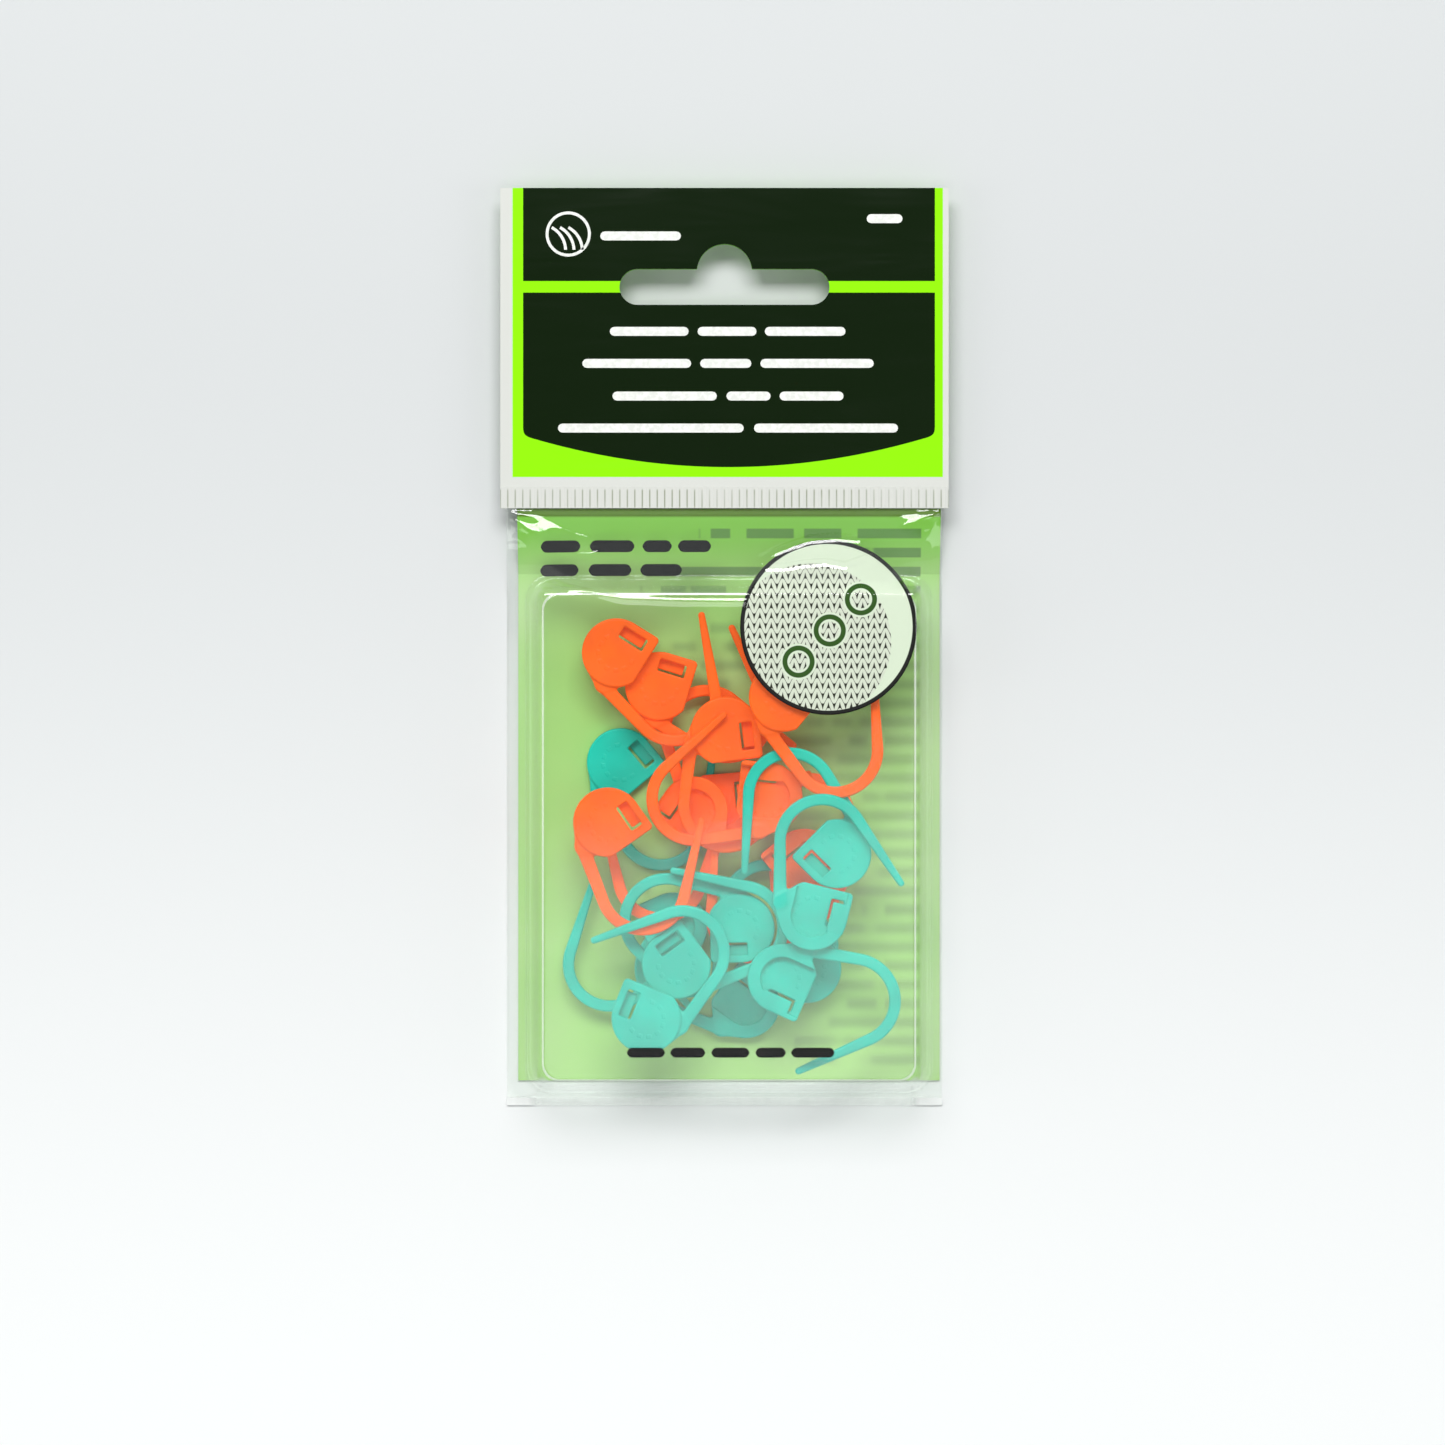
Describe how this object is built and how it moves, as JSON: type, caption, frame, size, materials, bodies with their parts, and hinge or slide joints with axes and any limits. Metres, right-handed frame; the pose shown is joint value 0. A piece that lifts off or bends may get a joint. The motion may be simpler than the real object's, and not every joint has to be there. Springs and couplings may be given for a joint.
{
  "type": "stitch marker pack",
  "caption": "Hang pack of plastic locking stitch markers: header card with hang slot, clear film bag, backing sheet and blister tray of loose orange and teal markers with flexing pin arms.",
  "frame": {"origin": "middle of the pack's outline, on the plane that its back lies on", "axes": "+X across the pack to the right as seen from the front, +Y up to the header, +Z out of the front"},
  "size_m": [0.07, 0.1436, 0.0136],
  "materials": {
    "header_print": "glossy printed laminate",
    "clear_film": "clear glossy film",
    "clear_tray": "clear formed plastic",
    "backing_print": "printed translucent sheet",
    "orange_plastic": "smooth semi-matt moulded",
    "teal_plastic": "smooth semi-matt moulded"
  },
  "bodies": {
    "pack": {"header_front": "header_print", "header_back": "header_print", "front_film": "clear_film", "back_film": "clear_film", "bottom_weld": "clear_film", "backing_sheet": "backing_print", "tray": "clear_tray", "orange_01_head": "orange_plastic", "orange_02_head": "orange_plastic", "orange_03_head": "orange_plastic", "orange_04_head": "orange_plastic", "orange_05_head": "orange_plastic", "orange_06_head": "orange_plastic", "orange_07_head": "orange_plastic", "orange_08_head": "orange_plastic", "orange_09_head": "orange_plastic", "orange_10_head": "orange_plastic", "teal_01_head": "teal_plastic", "teal_02_head": "teal_plastic", "teal_03_head": "teal_plastic", "teal_04_head": "teal_plastic", "teal_05_head": "teal_plastic", "teal_06_head": "teal_plastic", "teal_07_head": "teal_plastic", "teal_08_head": "teal_plastic", "teal_09_head": "teal_plastic", "teal_10_head": "teal_plastic"},
    "orange_01_pin_side": {"orange_01_arm": "orange_plastic"},
    "orange_02_pin_side": {"orange_02_arm": "orange_plastic"},
    "orange_03_pin_side": {"orange_03_arm": "orange_plastic"},
    "orange_04_pin_side": {"orange_04_arm": "orange_plastic"},
    "orange_05_pin_side": {"orange_05_arm": "orange_plastic"},
    "orange_06_pin_side": {"orange_06_arm": "orange_plastic"},
    "orange_07_pin_side": {"orange_07_arm": "orange_plastic"},
    "orange_08_pin_side": {"orange_08_arm": "orange_plastic"},
    "orange_09_pin_side": {"orange_09_arm": "orange_plastic"},
    "orange_10_pin_side": {"orange_10_arm": "orange_plastic"},
    "teal_01_pin_side": {"teal_01_arm": "teal_plastic"},
    "teal_02_pin_side": {"teal_02_arm": "teal_plastic"},
    "teal_03_pin_side": {"teal_03_arm": "teal_plastic"},
    "teal_04_pin_side": {"teal_04_arm": "teal_plastic"},
    "teal_05_pin_side": {"teal_05_arm": "teal_plastic"},
    "teal_06_pin_side": {"teal_06_arm": "teal_plastic"},
    "teal_07_pin_side": {"teal_07_arm": "teal_plastic"},
    "teal_08_pin_side": {"teal_08_arm": "teal_plastic"},
    "teal_09_pin_side": {"teal_09_arm": "teal_plastic"},
    "teal_10_pin_side": {"teal_10_arm": "teal_plastic"}
  },
  "joints": [
    {"name": "orange_01_flex", "type": "hinge", "parent": "pack", "child": "orange_01_pin_side", "pos_m": [-0.00664, -0.01438, 0.00584], "axis": [0, 0, 1], "range_deg": [-3, 24], "stiffness_Nm_per_rad": 0.03},
    {"name": "orange_02_flex", "type": "hinge", "parent": "pack", "child": "orange_02_pin_side", "pos_m": [0.00322, -0.01647, 0.00404], "axis": [0, 0, 1], "range_deg": [-3, 24], "stiffness_Nm_per_rad": 0.03},
    {"name": "orange_03_flex", "type": "hinge", "parent": "pack", "child": "orange_03_pin_side", "pos_m": [-0.00399, -0.02953, 0.00704], "axis": [0, 0, 1], "range_deg": [-3, 24], "stiffness_Nm_per_rad": 0.03},
    {"name": "orange_04_flex", "type": "hinge", "parent": "pack", "child": "orange_04_pin_side", "pos_m": [0.0176, -0.02246, 0.01124], "axis": [0, 0, 1], "range_deg": [-3, 24], "stiffness_Nm_per_rad": 0.03},
    {"name": "orange_05_flex", "type": "hinge", "parent": "pack", "child": "orange_05_pin_side", "pos_m": [-0.01394, -0.04356, 0.01064], "axis": [0, 0, 1], "range_deg": [-3, 24], "stiffness_Nm_per_rad": 0.03},
    {"name": "orange_06_flex", "type": "hinge", "parent": "pack", "child": "orange_06_pin_side", "pos_m": [-0.00861, -0.04201, 0.00464], "axis": [0, 0, -1], "range_deg": [-3, 24], "stiffness_Nm_per_rad": 0.03},
    {"name": "orange_07_flex", "type": "hinge", "parent": "pack", "child": "orange_07_pin_side", "pos_m": [-0.00964, -0.02769, 0.00884], "axis": [0, 0, -1], "range_deg": [-3, 24], "stiffness_Nm_per_rad": 0.03},
    {"name": "orange_08_flex", "type": "hinge", "parent": "pack", "child": "orange_08_pin_side", "pos_m": [0.00398, -0.04832, 0.00584], "axis": [0, 0, -1], "range_deg": [-3, 24], "stiffness_Nm_per_rad": 0.03},
    {"name": "orange_09_flex", "type": "hinge", "parent": "pack", "child": "orange_09_pin_side", "pos_m": [-0.00792, -0.00915, 0.00284], "axis": [0, 0, -1], "range_deg": [-3, 24], "stiffness_Nm_per_rad": 0.03},
    {"name": "orange_10_flex", "type": "hinge", "parent": "pack", "child": "orange_10_pin_side", "pos_m": [0.01764, -0.02223, 0.00104], "axis": [0, 0, 1], "range_deg": [-3, 24], "stiffness_Nm_per_rad": 0.03},
    {"name": "teal_01_flex", "type": "hinge", "parent": "pack", "child": "teal_01_pin_side", "pos_m": [-0.01072, -0.03397, 0.00104], "axis": [0, 0, 1], "range_deg": [-3, 24], "stiffness_Nm_per_rad": 0.03},
    {"name": "teal_02_flex", "type": "hinge", "parent": "pack", "child": "teal_02_pin_side", "pos_m": [0.01046, -0.01644, 0.01004], "axis": [0, 0, 1], "range_deg": [-3, 24], "stiffness_Nm_per_rad": 0.03},
    {"name": "teal_03_flex", "type": "hinge", "parent": "pack", "child": "teal_03_pin_side", "pos_m": [0.01151, -0.02459, 0.01244], "axis": [0, 0, -1], "range_deg": [-3, 24], "stiffness_Nm_per_rad": 0.03},
    {"name": "teal_04_flex", "type": "hinge", "parent": "pack", "child": "teal_04_pin_side", "pos_m": [0.02586, -0.05217, 0.01064], "axis": [0, 0, -1], "range_deg": [-3, 24], "stiffness_Nm_per_rad": 0.03},
    {"name": "teal_05_flex", "type": "hinge", "parent": "pack", "child": "teal_05_pin_side", "pos_m": [-0.0135, -0.0378, 0.00704], "axis": [0, 0, 1], "range_deg": [-3, 24], "stiffness_Nm_per_rad": 0.03},
    {"name": "teal_06_flex", "type": "hinge", "parent": "pack", "child": "teal_06_pin_side", "pos_m": [0.00896, -0.04476, 0.00884], "axis": [0, 0, 1], "range_deg": [-3, 24], "stiffness_Nm_per_rad": 0.03},
    {"name": "teal_07_flex", "type": "hinge", "parent": "pack", "child": "teal_07_pin_side", "pos_m": [-0.00047, -0.04492, 0.01184], "axis": [0, 0, 1], "range_deg": [-3, 24], "stiffness_Nm_per_rad": 0.03},
    {"name": "teal_08_flex", "type": "hinge", "parent": "pack", "child": "teal_08_pin_side", "pos_m": [-0.02001, -0.05566, 0.00344], "axis": [0, 0, -1], "range_deg": [-3, 24], "stiffness_Nm_per_rad": 0.03},
    {"name": "teal_09_flex", "type": "hinge", "parent": "pack", "child": "teal_09_pin_side", "pos_m": [0.00767, -0.03403, 0.00284], "axis": [0, 0, 1], "range_deg": [-3, 24], "stiffness_Nm_per_rad": 0.03},
    {"name": "teal_10_flex", "type": "hinge", "parent": "pack", "child": "teal_10_pin_side", "pos_m": [-0.01309, -0.05145, 0.00164], "axis": [0, 0, -1], "range_deg": [-3, 24], "stiffness_Nm_per_rad": 0.03}
  ]
}
